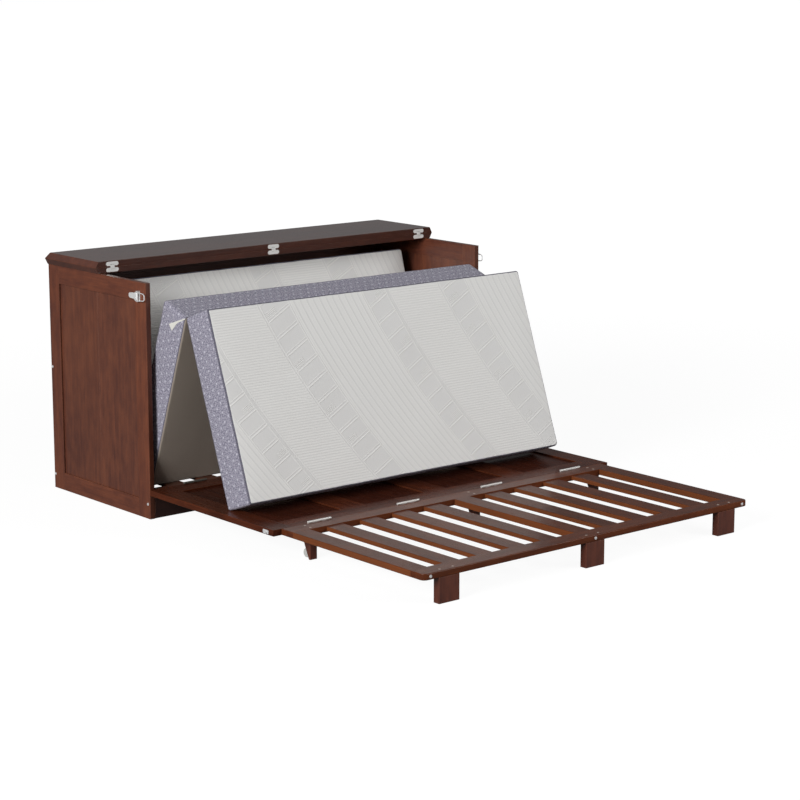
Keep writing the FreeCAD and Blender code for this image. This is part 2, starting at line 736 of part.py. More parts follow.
# ---------------------------------------------------------------- build
os.makedirs("parts", exist_ok=True)
cabinet_sides()
cabinet_back()
deck()
link_hinges()
front_panel()
foot_frame()
hinge_set(cabinet_hinge_y, 0, -joint_gap,
          "panel_hinge_cabinet_leaves", "panel_hinge_panel_leaves", "panel_hinge_pins")
hinge_set(foot_hinge_y, panel_end, foot_start,
          "foot_hinge_panel_leaves", "foot_hinge_foot_leaves", "foot_hinge_pins")
foot_legs()
fasteners()
latches()
mattress()
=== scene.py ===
"""A cabinet bed, half made up: a low stained cabinet, its front let down, a slatted foot section folded
out of it, and a mattress in three sections standing over them like a Z. The file follows the bed as it is
put together."""
import json
import math

import bmesh
import bpy
import numpy as np
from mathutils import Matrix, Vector


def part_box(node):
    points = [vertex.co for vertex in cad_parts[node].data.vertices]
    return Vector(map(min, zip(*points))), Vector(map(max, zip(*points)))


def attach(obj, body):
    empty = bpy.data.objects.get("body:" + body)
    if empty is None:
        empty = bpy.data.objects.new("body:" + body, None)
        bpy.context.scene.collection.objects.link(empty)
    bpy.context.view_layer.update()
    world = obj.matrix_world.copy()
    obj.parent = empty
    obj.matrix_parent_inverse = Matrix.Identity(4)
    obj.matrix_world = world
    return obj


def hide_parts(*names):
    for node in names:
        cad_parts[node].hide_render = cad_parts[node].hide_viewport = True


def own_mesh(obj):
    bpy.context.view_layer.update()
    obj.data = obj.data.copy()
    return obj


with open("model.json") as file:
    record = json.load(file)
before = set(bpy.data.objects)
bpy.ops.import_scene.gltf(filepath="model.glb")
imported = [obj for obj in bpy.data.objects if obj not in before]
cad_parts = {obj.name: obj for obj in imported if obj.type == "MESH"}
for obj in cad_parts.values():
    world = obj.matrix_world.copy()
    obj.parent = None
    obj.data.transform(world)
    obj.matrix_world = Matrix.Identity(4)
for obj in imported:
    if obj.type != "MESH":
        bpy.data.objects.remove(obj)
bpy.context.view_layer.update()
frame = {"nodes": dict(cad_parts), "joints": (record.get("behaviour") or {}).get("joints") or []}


# ---------------------------------------------------------------- camera
# The photograph was taken from the left of the bed's foot, well above the top of the cabinet, with a long
# lens. The camera looks down a little, and its frame isn't shifted.
camera_place = (-5.4343, -6.5414, 2.1468)
camera_azimuth, camera_drop = -39.928, 11.486   # degrees from the bed's long axis, and below the horizon
camera_lens = 102.26                            # millimetres, on a sensor 36 mm wide

azimuth, drop = math.radians(camera_azimuth), math.radians(camera_drop)
level_share = math.cos(drop)
camera_back = Vector((math.sin(azimuth) * level_share, -math.cos(azimuth) * level_share, math.sin(drop)))
camera = bpy.data.objects.new("camera", bpy.data.cameras.new("camera"))
camera.location = camera_place
camera.rotation_mode = "QUATERNION"
camera.rotation_quaternion = (-camera_back).to_track_quat("-Z", "Y")
camera.data.lens = camera_lens
camera.data.sensor_width = 36.0
camera.data.clip_end = 200.0
bpy.context.scene.collection.objects.link(camera)
bpy.context.scene.camera = camera
bpy.context.scene.view_settings.view_transform = "Standard"


# ---------------------------------------------------------------- studio
# A white floor that runs into a white surround. The light is soft and comes from the left and from the front
# right; the surround is dimmer behind the bed to the right, and that is what the lacquer mirrors.
class Wire:
    """A shader socket that adds Math nodes when it is used in an expression."""

    def __init__(self, finish, socket):
        self.finish = finish
        self.socket = socket

    def maths(self, operation, *operands):
        return self.finish.node("ShaderNodeMath", {"operation": operation}, dict(enumerate(operands)))

    def __add__(self, other):
        return self.maths("ADD", self, other)

    def __sub__(self, other):
        return self.maths("SUBTRACT", self, other)

    def __rsub__(self, other):
        return self.maths("SUBTRACT", other, self)

    def __mul__(self, other):
        return self.maths("MULTIPLY", self, other)

    def __truediv__(self, other):
        return self.maths("DIVIDE", self, other)

    def __mod__(self, other):
        return self.maths("FLOORED_MODULO", self, other)

    def __abs__(self):
        return self.maths("ABSOLUTE", self)

    __radd__ = __add__
    __rmul__ = __mul__

    def power(self, exponent):
        return self.maths("POWER", self, exponent)

    def floor(self):
        return self.maths("FLOOR", self)

    def sine(self):
        return self.maths("SINE", self)

    def least(self, other):
        return self.maths("MINIMUM", self, other)

    def most(self, other):
        return self.maths("MAXIMUM", self, other)

    def step(self, low, high):
        """0 below low, 1 above high, and smooth between them; with low above high it falls instead."""
        return self.finish.node(
            "ShaderNodeMapRange", {"interpolation_type": "SMOOTHSTEP"},
            {"Value": self, "From Min": low, "From Max": high, "To Min": 0.0, "To Max": 1.0})


class Finish:
    """A finish being mixed: a node tree, and the one shader that its patterns feed."""

    def __init__(self, tree, shader=None):
        self.tree = tree
        self.shader = shader

    def node(self, kind, settings=None, inputs=None, output=0):
        """Adds one node: its settings first, then the values or links of its sockets."""
        made = self.tree.nodes.new(kind)
        for key, value in (settings or {}).items():
            setattr(made, key, value)
        for key, value in (inputs or {}).items():
            socket = made.inputs[key]
            if isinstance(value, Wire):
                self.tree.links.new(value.socket, socket)
            else:
                socket.default_value = value
        return Wire(self, made.outputs[output])

    def feed(self, socket, wire):
        self.tree.links.new(wire.socket, self.shader.inputs[socket])

    def axes(self, vector):
        """The three numbers of a vector."""
        split = self.node("ShaderNodeSeparateXYZ", inputs={0: vector})
        return [Wire(self, split.socket.node.outputs[n]) for n in range(3)]

    def vector(self, x, y, z):
        return self.node("ShaderNodeCombineXYZ", inputs={0: x, 1: y, 2: z})

    def mix(self, share, first, second):
        """Colour first where share is 0, and second where it is 1."""
        made = self.tree.nodes.new("ShaderNodeMix")
        made.data_type = "RGBA"
        for key, value in ((0, share), (6, first), (7, second)):
            if isinstance(value, Wire):
                self.tree.links.new(value.socket, made.inputs[key])
            else:
                made.inputs[key].default_value = value if key == 0 else (*value, 1.0)
        return Wire(self, made.outputs[2])

    def noise(self, place, scale=1.0, detail=3.0, roughness=0.5, seed=0.0, distortion=0.0):
        return self.node(
            "ShaderNodeTexNoise", {"noise_dimensions": "4D"},
            {"Vector": place, "W": seed, "Scale": scale, "Detail": detail, "Roughness": roughness,
             "Distortion": distortion})

    def bump(self, height, depth, normal=None):
        """Relief: height is 0 to 1 for depth metres, on the mesh's own normal or another."""
        inputs = {"Height": height, "Strength": 1.0, "Distance": depth}
        if normal is not None:
            inputs["Normal"] = normal
        self.feed("Normal", self.node("ShaderNodeBump", inputs=inputs))


def new_finish(name, **fixed):
    """A Principled material whose plain values are set by name, with _ for a space."""
    material = bpy.data.materials.new(name)
    material.use_nodes = True
    shader = material.node_tree.nodes["Principled BSDF"]
    for key, value in fixed.items():
        shader.inputs[key.replace("_", " ")].default_value = value
    return material, Finish(material.node_tree, shader)


def srgb(red, green, blue):
    """A colour as it looks on a screen, 0 to 255, as linear light."""
    return tuple(((c / 255 + 0.055) / 1.055) ** 2.4 for c in (red, green, blue))


def dress(node, material):
    """Gives a CAD node its finish."""
    thing = frame["nodes"][node]
    thing.data.materials.clear()
    thing.data.materials.append(material)


def seen_directly(finish, mirrored):
    """1 for rays from the camera or through glass, and the share mirrored for reflections."""
    path = finish.node("ShaderNodeLightPath").socket.node
    camera_ray, glossy, through = (
        Wire(finish, path.outputs[f"Is {kind} Ray"]) for kind in ("Camera", "Glossy", "Transmission"))
    return camera_ray.most(through).most(glossy * mirrored)


def build_world():
    """White where the camera looks, and for the light a grey that is dimmer in one direction and upwards."""
    world = bpy.data.worlds.new("surround")
    bpy.context.scene.world = world
    world.use_nodes = True
    sky = Finish(world.node_tree)
    background = world.node_tree.nodes["Background"]
    direction = sky.node("ShaderNodeTexCoord", output=3)
    towards = sky.node("ShaderNodeVectorMath", {"operation": "DOT_PRODUCT"},
                       {0: direction, 1: tuple(dim_direction)}, output=1)
    height = sky.axes(direction)[2]
    lit = 1.0 - towards.step(0.55, 0.93) * (1.0 - dim_level)
    level = lit * (height.step(-0.2, 0.9) * (surround_high - surround_low) + surround_low)
    grey = sky.node("ShaderNodeCombineColor", inputs={0: level, 1: level, 2: level * 1.01})
    seen = sky.mix(seen_directly(sky, 0.0), grey, (1, 1, 1))
    world.node_tree.links.new(seen.socket, background.inputs["Color"])
    background.inputs["Strength"].default_value = 1.0


def soft_light(name, place, aim, size, watts):
    """A round softbox at a place, turned towards what it aims at."""
    lamp = bpy.data.lights.new(name, "AREA")
    lamp.shape = "DISK"
    lamp.size = size
    lamp.energy = watts
    thing = bpy.data.objects.new(name, lamp)
    thing.location = place
    thing.rotation_mode = "QUATERNION"
    thing.rotation_quaternion = (Vector(aim) - Vector(place)).to_track_quat("-Z", "Y")
    bpy.context.scene.collection.objects.link(thing)


def grid_mesh(name, points, closed=False):
    """A mesh of quads over an array of points [row, column, 3], whose rows are rings where it is closed."""
    rows, columns = points.shape[:2]
    index = np.arange(rows * columns).reshape(rows, columns)
    if closed:
        index = np.concatenate([index, index[:, :1]], 1)
    quads = np.stack([index[:-1, :-1], index[:-1, 1:], index[1:, 1:], index[1:, :-1]], -1).reshape(-1, 4)
    mesh = bpy.data.meshes.new(name)
    mesh.from_pydata(points.reshape(-1, 3).tolist(), [], quads.tolist())
    mesh.update()
    return mesh


dim_direction = Vector((math.sin(math.radians(78)), math.cos(math.radians(78)), 0.12)).normalized()
dim_level = 0.75
surround_low, surround_high = 0.26, 0.14
build_world()
soft_light("left_softbox", (-9.7, -2.7, 4.2), (0.0, 0.2, 0.4), 4.6, 1020)
soft_light("front_softbox", (2.6, -4.6, 2.5), (0.0, 0.0, 0.4), 2.4, 119)

floor_half, floor_height = 60.0, -0.0006
floor_mirrored = 0.06     # how brightly the lacquer sees the floor, beside how the camera does
floor_matt_grey = (0.12, 0.12, 0.12, 1)
floor_ends = (-floor_half, floor_half)
floor_mesh = grid_mesh("floor", np.array([[(x, y, floor_height) for x in floor_ends] for y in floor_ends]))
floor = bpy.data.objects.new("floor", floor_mesh)
bpy.context.scene.collection.objects.link(floor)
floor_material, floor_finish = new_finish("floor_white", Base_Color=floor_matt_grey, Roughness=0.9)
floor_place = floor_finish.node("ShaderNodeTexCoord", output=3)
floor_reach = floor_finish.node("ShaderNodeVectorMath", {"operation": "LENGTH"}, {0: floor_place}, output=1)
floor_white = floor_finish.mix(floor_reach.step(1.5, 8.0), (0.93, 0.93, 0.93), (1, 1, 1))
floor_glow = floor_finish.node("ShaderNodeEmission", inputs={"Color": floor_white})
floor_matt = floor_finish.node("ShaderNodeBsdfDiffuse", inputs={"Color": floor_matt_grey})
floor_seen = floor_finish.node("ShaderNodeAddShader", inputs={0: floor_glow, 1: floor_matt})
floor_plain = Wire(floor_finish, floor_finish.shader.outputs[0])
floor_mix = floor_finish.node("ShaderNodeMixShader", inputs={
    0: seen_directly(floor_finish, floor_mirrored), 1: floor_plain, 2: floor_seen})
floor_output = floor_material.node_tree.nodes["Material Output"]
floor_material.node_tree.links.new(floor_mix.socket, floor_output.inputs["Surface"])
floor_mesh.materials.append(floor_material)


# ---------------------------------------------------------------- cabinet sides, back and kick board
# Solid hardwood frames round two upright boards, stained red-brown and lacquered. The stain lies darker in
# the pores and along the soft bands of the grain, and thinner on the arrises.
def stained_wood(name, grain, light, dark, seed, boards=None, gloss=0.32, roughness=0.36,
                 warm=(0.24, 0.075, 0.025), worn=0.4, sides=0.0, fronts=0.0, specular=0.5):
    """Stained wood whose grain runs along an axis of the row. boards is (axis, start, pitch) where several
    boards share the finish, and each then has its own tone and figure. worn is how much the arrises show
    the wood through the stain, and sides how much faces that look along x take the same warm colour as
    painted light. fronts is how much painted shade darkens faces that look along y, with their lacquer
    thinned there, and specular the shine of the wood under its lacquer."""
    material, wood = new_finish(name, Coat_IOR=1.5, IOR=1.42, Specular_IOR_Level=specular)
    place = wood.axes(wood.node("ShaderNodeTexCoord", output=3))
    along = place[grain]
    across = [place[n] for n in range(3) if n != grain]
    number = seed
    if boards:
        axis, start, pitch = boards
        number = ((place[axis] - start) / pitch).floor() * 3.7 + seed

    def grained(length, width, detail, seed, **more):
        """Noise drawn out along the grain, with so many features a metre along it and across it."""
        stretched = wood.vector(along * length, across[0] * width, across[1] * width)
        return wood.noise(stretched, detail=detail, seed=seed, **more)

    figure = grained(1.5, 16.0, 4.0, number, roughness=0.62, distortion=1.1)
    fibre = grained(9.0, 260.0, 3.0, number, roughness=0.7)
    pores = grained(55.0, 900.0, 1.0, number).step(0.62, 0.74)
    blotch = grained(2.2, 6.0, 2.0, number + 9.1)
    rings = ((figure * 34.0).sine() * 0.5 + 0.5) * 0.08
    mottle = grained(14.0, 38.0, 2.0, number + 4.2)
    streak = grained(4.0, 95.0, 2.0, number + 7.7)
    body = (figure.step(0.25, 0.78) * 0.26 + fibre.step(0.3, 0.74) * 0.26 + blotch.step(0.28, 0.72) * 0.32
            + mottle.step(0.34, 0.68) * 0.3 + streak.step(0.32, 0.68) * 0.24 + rings - 0.2)
    colour = wood.mix(body.most(0.0).least(1.0), dark, light)
    if boards:
        tone = wood.noise(wood.vector(0.0, 0.0, 0.0), seed=number * 2.3 + 0.4, scale=5.0)
        colour = wood.mix(tone.step(0.3, 0.7) * 0.28, colour, tuple(c * 0.62 for c in dark))
    colour = wood.mix(pores * 0.4, colour, tuple(c * 0.35 for c in dark))
    corner = wood.node("ShaderNodeBevel", {"samples": 4}, {"Radius": 0.0022})
    flat = wood.node("ShaderNodeNewGeometry", output=1)
    turn = wood.node("ShaderNodeVectorMath", {"operation": "DOT_PRODUCT"}, {0: corner, 1: flat}, output=1)
    arris = turn.step(0.997, 0.93)
    facing = wood.axes(wood.node("ShaderNodeTexCoord", output=1))
    # painted light: faces that look along x are mixed towards the warm colour by sides; worn arrises take it
    # too
    colour = wood.mix((arris * worn).most(abs(facing[0]).step(0.6, 0.9) * sides), colour, warm)
    # painted shade: faces that look along y are darkened by fronts, and their lacquer is thinned there
    front = abs(facing[1]).step(0.6, 0.9)
    colour = wood.mix(front * fronts, colour, tuple(c * 0.3 for c in dark))
    wood.feed("Base Color", colour)
    wood.feed("Roughness", fibre * 0.16 + roughness - 0.08 + arris * 0.08)
    wood.feed("Coat Weight", gloss - arris * gloss * 0.5 - front * (gloss * min(fronts * 2, 0.9)))
    wood.shader.inputs["Coat Roughness"].default_value = 0.16
    wood.bump(fibre * 0.5 - pores * 0.5 + figure * 0.3, 0.00028, corner)
    return material


case_light, case_dark = srgb(122, 68, 45), srgb(80, 42, 33)
# the stiles carry painted shade on their faces that look along y
case_upright = stained_wood("case_wood_upright", 2, case_light, case_dark, 1.3, fronts=0.5)
case_level = stained_wood("case_wood_level", 1, case_light, case_dark, 2.9)
case_wide = stained_wood("case_wood_wide", 0, srgb(90, 48, 33), srgb(58, 29, 22), 5.2)
side_boards_low, side_boards_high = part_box("left_side_boards")
side_middle = (side_boards_low.y + side_boards_high.y) / 2
one_metre = 1.0           # more than a board is wide, so the pair parts at the joint between them
side_planks = stained_wood("side_planks", 2, srgb(124, 72, 50), srgb(80, 44, 36), 4.4,
                           boards=(1, side_middle - one_metre, one_metre), worn=0.12)
for side in ("left", "right"):
    dress(side + "_front_stile", case_upright)
    dress(side + "_rear_stile", case_upright)
    dress(side + "_top_rail", case_level)
    dress(side + "_bottom_rail", case_level)
    dress(side + "_side_boards", side_planks)
dress("back_board", case_wide)
dress("back_rails", case_wide)
# the kick board's stain is a darker copy of the case wood: painted shade for its place under the panel
dress("kick_board", stained_wood("kick_board_wood_painted_shade", 0, srgb(56, 30, 24), srgb(38, 20, 17), 6.1, gloss=0.15))


# ---------------------------------------------------------------- deck inside the cabinet
# Slats of the same wood on two ledgers, behind a front rail that carries the hinges of the front panel.
deck_slats, deck_gap = 10, 0.077
deck_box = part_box("deck_slats")
deck_pitch = (deck_box[1].x - deck_box[0].x + deck_gap) / deck_slats
deck_wood = stained_wood("deck_wood", 1, srgb(104, 58, 36), srgb(66, 34, 22), 7.7,
                         boards=(0, deck_box[0].x - 0.038, deck_pitch))
dress("deck_slats", deck_wood)
dress("deck_ledgers", case_wide)
dress("deck_front_rail", stained_wood("deck_rail_wood", 0, srgb(100, 54, 38), srgb(64, 33, 24), 3.1))


# ---------------------------------------------------------------- top and its flap
# Two boards across the whole cabinet, one fixed, the other folded back on it, with a satin lacquer.
# the top and flap carry painted shade on their faces that look along y
top_wood = stained_wood("top_wood", 0, srgb(96, 50, 34), srgb(62, 31, 23), 11.9, gloss=0.66, roughness=0.32,
                        fronts=0.45, specular=0.4)
flap_wood = stained_wood("flap_wood", 0, srgb(98, 52, 36), srgb(64, 33, 25), 13.3, gloss=0.72, roughness=0.3,
                         fronts=0.45, specular=0.4)
dress("fixed_top", top_wood)
dress("top_flap", flap_wood)


# ---------------------------------------------------------------- front panel
# A frame with three bars round four thin boards. It lies open, inner face up, under a glossy lacquer.
panel_light, panel_dark = srgb(94, 46, 27), srgb(57, 27, 18)
panel_long = stained_wood("panel_wood_long", 1, panel_light, panel_dark, 17.2, gloss=0.08, specular=0.08,
                          roughness=0.28)
panel_cross = stained_wood("panel_wood_cross", 0, panel_light, panel_dark, 19.8, gloss=0.08, specular=0.08,
                           roughness=0.28)
boards_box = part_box("panel_boards")
panel_board_count = 4
boards_pitch = (boards_box[1].x - boards_box[0].x) / panel_board_count
panel_boards = stained_wood("panel_boards", 1, srgb(78, 37, 24), srgb(46, 21, 14), 23.4,
                            boards=(0, boards_box[0].x, boards_pitch), gloss=0.04, roughness=0.28,
                            specular=0.05)
for piece in ("panel_left_stile", "panel_right_stile", "panel_mullions"):
    dress(piece, panel_long)
for piece in ("panel_hinge_rail", "panel_free_rail"):
    dress(piece, panel_cross)
dress("panel_boards", panel_boards)


# ---------------------------------------------------------------- foot section and its legs
# A frame with thin slats let in a little lower, three broad legs under its end and three wedge legs under
# its hinge rail. The sides of its slats and stiles that look along x carry painted light, a warmer colour
# than their tops.
foot_light, foot_dark = srgb(108, 55, 29), srgb(68, 33, 20)
foot_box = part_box("foot_slats")
foot_slats, foot_gap = 9, 0.0744   # the middle one is the centre stile
foot_pitch = (foot_box[1].x - foot_box[0].x + foot_gap) / foot_slats
# sides=0.5 gives these slats and stiles painted light on their faces that look along x
foot_long = stained_wood("foot_wood_long", 1, foot_light, foot_dark, 29.5,
                         boards=(0, foot_box[0].x - foot_gap / 2 - foot_pitch, foot_pitch),
                         gloss=0.15, roughness=0.3, sides=0.5, specular=0.14)
foot_cross = stained_wood("foot_wood_cross", 0, foot_light, foot_dark, 31.1, gloss=0.22, roughness=0.3,
                          specular=0.14)
leg_wood = stained_wood("leg_wood", 2, srgb(110, 58, 42), srgb(74, 38, 30), 37.6)
for piece in ("foot_slats", "foot_centre_stile", "foot_left_stile", "foot_right_stile"):
    dress(piece, foot_long)
for piece in ("foot_hinge_rail", "foot_end_rail"):
    dress(piece, foot_cross)
for piece in ("front_legs", "left_mid_leg", "centre_mid_leg", "right_mid_leg"):
    dress(piece, leg_wood)


# ---------------------------------------------------------------- hinges, latches, caps, plugs and rollers
# Plated steel with the faint cloud of a rolled sheet, brown plastic plugs, white nylon wheels.
plating_shine = 0.4       # bright plating with a satin bloom, which scatters much of the light


def plated_steel(name, colour, roughness, cloud=0.12, seed=1.0):
    material, steel = new_finish(name, Metallic=plating_shine)
    place = steel.node("ShaderNodeTexCoord", output=3)
    broad = steel.noise(place, scale=60.0, detail=3.0, seed=seed)
    fine = steel.noise(place, scale=900.0, detail=2.0, seed=seed + 3.0)
    steel.feed("Base Color", steel.mix(broad, tuple(c * 0.86 for c in colour), colour))
    steel.feed("Roughness", broad * cloud + fine * 0.08 + roughness)
    steel.bump(fine, 0.00004)
    return material


def moulded(name, colour, roughness, seed=2.0):
    material, plastic = new_finish(name, IOR=1.5)
    place = plastic.node("ShaderNodeTexCoord", output=3)
    cloud = plastic.noise(place, scale=70.0, seed=seed)
    grain = plastic.noise(place, scale=1600.0, detail=1.0, seed=seed + 1.0)
    plastic.feed("Base Color", plastic.mix(cloud * 0.5, colour, tuple(c * 0.88 for c in colour)))
    plastic.feed("Roughness", cloud * 0.1 + roughness)
    plastic.bump(grain, 0.00003)
    return material


hinge_steel = plated_steel("hinge_steel", srgb(228, 227, 224), 0.4)
latch_steel = plated_steel("latch_steel", srgb(238, 238, 238), 0.36, 0.06, 5.0)
cap_steel = plated_steel("cap_steel", srgb(236, 236, 236), 0.36, 0.06, 8.0)
# The front panel's hinges get a darker grey steel as painted shade, for the mattress's shade over them.
panel_hinge_shade_steel = plated_steel("panel_hinge_steel_painted_shade", srgb(112, 110, 102), 0.42)
for piece in ("panel_hinge_cabinet_leaves", "panel_hinge_panel_leaves", "panel_hinge_pins"):
    dress(piece, panel_hinge_shade_steel)
for piece in ("foot_hinge_panel_leaves", "foot_hinge_foot_leaves", "foot_hinge_pins",
              "top_hinge_cabinet_plates", "top_hinge_flap_plates", "top_hinge_links", "roller_forks"):
    dress(piece, hinge_steel)
for piece in ("latch_plates", "left_latch_lever", "right_latch_lever", "left_latch_bail", "right_latch_bail",
              "latch_keepers"):
    dress(piece, latch_steel)
for piece in ("cabinet_bolt_caps", "foot_bolt_caps"):
    dress(piece, cap_steel)
dress("foot_screw_plugs", moulded("plug_brown", srgb(168, 152, 142), 0.3))
wheel_white = moulded("wheel_white", srgb(196, 197, 193), 0.3)
for piece in ("left_roller", "right_roller"):
    dress(piece, wheel_white)


# ---------------------------------------------------------------- mattress sections
# Foam blocks in a zipped cover: a pale woven top panel with a raised pattern, a lilac border with small pale
# flowers, and a plain taupe underside. The panels are sewn to the border all round.
mattress_width = 1.524
mattress_middle_x = -0.018
section_length = 0.7214
section_thick = 0.148
seam_round = 0.007        # of the edge where panel and border are sewn together
flower_along, flower_across = 0.0355, 0.058
pattern_repeat, bar_pitch = 0.87, 0.0786
ribbed, first_band, second_band = (0.014, 0.250), (0.266, 0.394), (0.752, 0.858)
bundled = (0.408, 0.740)
double_lines = (0.0, 0.010, 0.252, 0.263, 0.396, 0.405, 0.742, 0.750, 0.860)
panel_crown = 0.0038


def plan_outline(inset, corners):
    """Points round a section's outline, drawn in by inset: quarter circles at the corners, whose radii are
    given anticlockwise from the right one at the upper end, and straight runs between them."""
    half = np.array([mattress_width / 2 - inset, section_length / 2 - inset])
    signs = np.array([(1, 1), (-1, 1), (-1, -1), (1, -1)])
    arcs = []
    for quarter in range(4):
        radius = max(corners[quarter] - inset, 0.0015 if inset < half.min() else 0.0002)
        angle = np.linspace(0, np.pi / 2, 9) + quarter * np.pi / 2
        arcs.append(signs[quarter] * (half - radius) + radius * np.stack([np.cos(angle), np.sin(angle)], 1))
    pieces = []
    for quarter, count in enumerate((150, 76, 150, 76)):
        share = np.linspace(0, 1, count + 2)[1:-1, None]
        pieces += [arcs[quarter], arcs[quarter][-1] * (1 - share) + arcs[(quarter + 1) % 4][0] * share]
    return np.concatenate(pieces)


def section_profile():
    """The run from the middle of the underside, round the sewn edges, to the middle of the top panel, as
    insets from the outline, heights, and the cloth of each stretch: 0 the underside, 1 the border, 2 the
    top. The border draws in a little halfway up, as a cosine of the height."""
    half, r = section_thick / 2, seam_round
    deep = section_length / 2 - 0.0004
    face = r + (deep - r) * (np.linspace(1, 0, 30) ** 1.6)
    turn = np.linspace(0, np.pi / 2, 6)[1:]
    under = [(d, -half, 0) for d in face]
    under_seam = [(r - r * math.sin(a), -half + r - r * math.cos(a), 0 if n < 3 else 1)
                  for n, a in enumerate(turn)]
    heights = np.linspace(-half + r, half - r, 17)[1:]
    border = [(-0.0015 * math.cos(math.pi / 2 * h / (half - r)), h, 1) for h in heights[:-1]]
    border.append((0.0, half - r, 1))
    top_seam = [(r - r * math.cos(a), half - r + r * math.sin(a), 2 if n > 2 else 1)
                for n, a in enumerate(turn)]
    top = [(d, half, 2) for d in face[::-1][1:]]
    return under + under_seam + border + top_seam + top


def soft_hills(x, y, seed, waves=7, longest=0.5):
    """A smooth random surface: a sum of sines of differing direction and length, about -1 to 1."""
    draw = np.random.default_rng(seed)
    total = np.zeros_like(x)
    for n in range(waves):
        length = longest * 0.72 ** n
        angle, phase = draw.uniform(0, 2 * np.pi, 2)
        total += np.sin(2 * np.pi * (x * np.cos(angle) + y * np.sin(angle)) / length + phase) * 0.75 ** n
    return total / 2.2


def mattress_section(node, body, corner, lean, inward, top_side, corners, seed):
    """One section, placed by its lower corner in the y-z plane, its lean in degrees, and the side its
    thickness lies. top_side says whether the woven panel is on the far side of that thickness (1) or the
    near one (-1). Panels bow out towards their middle, by the root of a parabola along the section that
    fades in exponentially from the seams, and carry a faint ripple; the border is puckered by the same
    kind of ripple at a third of its length."""
    profile = section_profile()
    rings = np.stack([plan_outline(inset, corners) for inset, _, _ in profile])
    heights = np.array([h for _, h, _ in profile])[:, None] + np.zeros(rings.shape[1])
    x, s = rings[..., 0], rings[..., 1]
    edge = np.minimum(mattress_width / 2 - np.abs(x), section_length / 2 - np.abs(s)).clip(0)
    away = 1 - np.exp(-edge / 0.05)
    bow = panel_crown * away * (1 - (2 * s / section_length) ** 2).clip(0) ** 0.5
    ripple = 0.0007 * soft_hills(x, s, seed) * away
    facing = np.sign(heights) * (np.abs(heights) > section_thick / 2 - 1e-4)
    heights = heights + facing * (bow * 0.9 + ripple)
    pucker = 0.0006 * soft_hills(x * 3 + s * 3, heights * 2, seed + 1) * (facing == 0)
    outward = rings / np.linalg.norm(rings, axis=-1, keepdims=True)
    rings = rings - outward * (pucker[..., None] + 0.0006 * (facing == 0)[..., None])
    x, s = rings[..., 0], rings[..., 1]

    a = math.radians(lean)
    w = heights * top_side
    y_local, z_local = inward * section_thick / 2 + w, section_length / 2 + s
    y = corner[0] + y_local * math.cos(a) - z_local * math.sin(a)
    z = corner[1] + y_local * math.sin(a) + z_local * math.cos(a)
    points = np.stack([x + mattress_middle_x, y, z], -1)
    points[..., 2] = points[..., 2].clip(deck_top + 0.0004)
    name = node.replace("mattress", "sewn")
    mesh = grid_mesh(name, points, closed=True)

    # the far and near rows close on themselves along the section's middle line
    count = rings.shape[1]
    outline = plan_outline(0, corners)
    run = np.cumsum(np.linalg.norm(np.diff(outline, axis=0, append=outline[:1]), axis=1))
    run = np.concatenate([[0], run]) * round(run[-1] / flower_along) * flower_along / run[-1]
    cloth = np.array([c for _, _, c in profile])
    quad_row = np.repeat(np.arange(len(profile) - 1), count)
    quad_column = np.tile(np.arange(count), len(profile) - 1)
    quad_cloth = cloth[np.minimum(quad_row + (quad_row < len(profile) // 2), len(profile) - 1)]
    mesh.polygons.foreach_set("material_index", quad_cloth.astype(np.int32))
    corner_row = np.stack([quad_row, quad_row, quad_row + 1, quad_row + 1], 1)
    corner_column = np.stack([quad_column, quad_column + 1, quad_column + 1, quad_column], 1)
    on_border = (quad_cloth == 1)[:, None]
    wrapped = corner_column % count
    length = run[corner_column]
    u = np.where(on_border, length, x[corner_row, wrapped])
    v = np.where(on_border, heights[corner_row, wrapped], s[corner_row, wrapped])
    layer = mesh.uv_layers.new(name="cloth")
    layer.data.foreach_set("uv", np.stack([u, v], -1).reshape(-1).astype(np.float32))
    thing = bpy.data.objects.new(name, mesh)
    bpy.context.scene.collection.objects.link(thing)
    merge_and_turn_out(thing)
    mesh.polygons.foreach_set("use_smooth", np.ones(len(mesh.polygons), dtype=bool))
    for material in (taupe_cloth, border_cloth, panel_cloth):
        mesh.materials.append(material)
    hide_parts(node)
    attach(thing, body)
    return thing


def merge_and_turn_out(thing):
    """Merges points that coincide and turns every face outwards."""
    work = bmesh.new()
    work.from_mesh(thing.data)
    bmesh.ops.remove_doubles(work, verts=work.verts, dist=0.0009)
    bmesh.ops.recalc_face_normals(work, faces=work.faces)
    work.to_mesh(thing.data)
    work.free()


